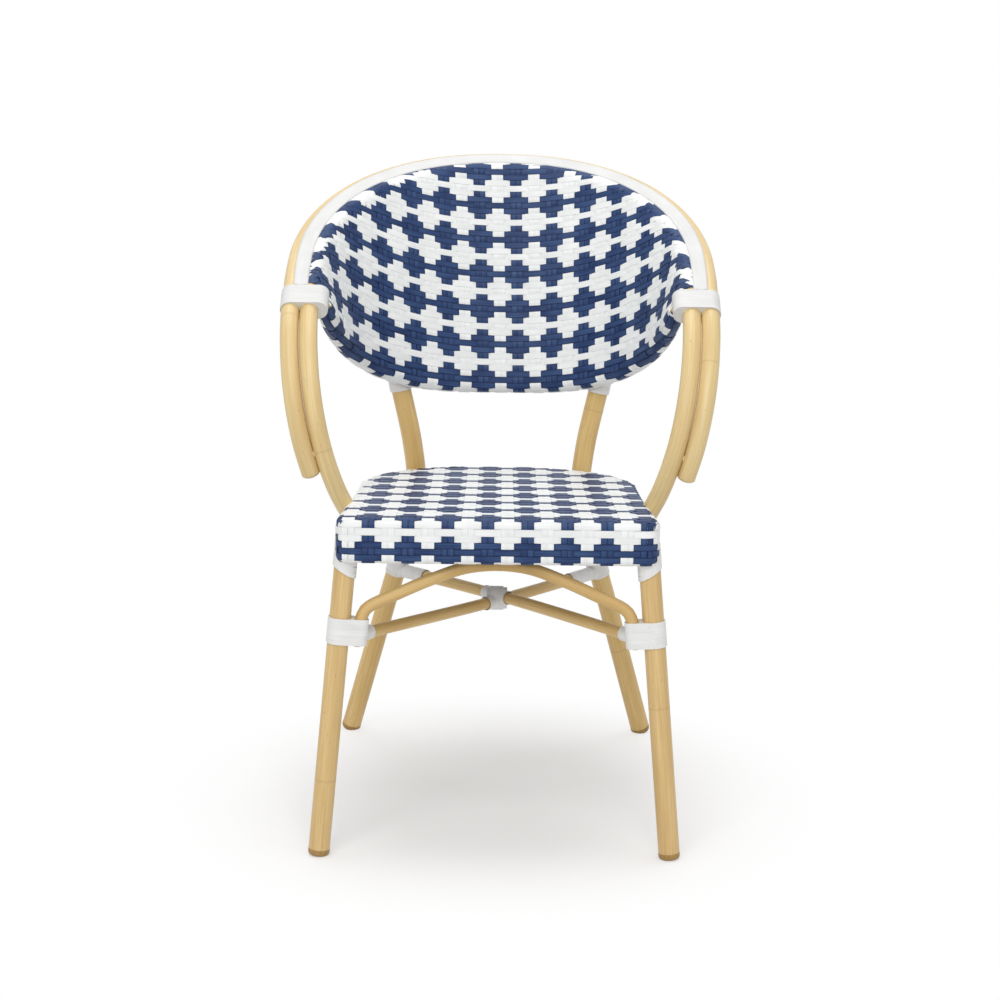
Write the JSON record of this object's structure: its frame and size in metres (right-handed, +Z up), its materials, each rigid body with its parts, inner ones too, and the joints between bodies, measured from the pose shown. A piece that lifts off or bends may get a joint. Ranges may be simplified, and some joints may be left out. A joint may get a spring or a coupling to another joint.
{
  "type": "rattan bistro chair",
  "caption": "Bistro armchair with a bent cane frame, a woven strip seat, a woven barrel back under a paired hoop rail and crossed braces.",
  "frame": {"origin": "centre of the footprint on the floor", "axes": "+X to the chair's left-to-right as seen from the front, -Y towards the front edge of the seat, +Z up"},
  "size_m": [0.5866, 0.5541, 0.8691],
  "materials": {
    "rattan": "satin lacquered cane",
    "weave": "woven flat strips in navy blue and white",
    "binding": "smooth white strip wrap",
    "foot_cap": "satin tan plug"
  },
  "bodies": {
    "root": {"front_leg_left": "rattan", "front_leg_right": "rattan", "rear_leg_left": "rattan", "rear_leg_right": "rattan", "front_foot_cap_left": "foot_cap", "front_foot_cap_right": "foot_cap", "rear_foot_cap_left": "foot_cap", "rear_foot_cap_right": "foot_cap", "inner_hoop": "rattan", "outer_hoop": "rattan", "back_lower_rail": "rattan", "arm_spacer_left": "rattan", "arm_spacer_right": "rattan", "back_weave": "weave", "rim_binding": "binding", "arm_binding_left": "binding", "arm_binding_right": "binding", "seat_front_rail_upper": "rattan", "seat_front_rail_lower": "rattan", "seat_side_rail_upper": "rattan", "seat_side_rail_lower": "rattan", "seat_weave": "weave", "front_arch": "rattan", "cross_brace_upper": "rattan", "cross_brace_lower": "rattan", "brace_center_binding": "binding", "front_leg_binding_upper_left": "binding", "front_leg_binding_upper_right": "binding", "front_leg_binding_lower_left": "binding", "front_leg_binding_lower_right": "binding", "brace_binding_front_left": "binding", "brace_binding_front_right": "binding", "brace_binding_rear_left": "binding", "brace_binding_rear_right": "binding", "rear_leg_binding_left": "binding", "rear_leg_binding_right": "binding", "upright_binding_left": "binding", "upright_binding_right": "binding", "upright_top_binding_left": "binding", "upright_top_binding_right": "binding"}
  },
  "joints": []
}
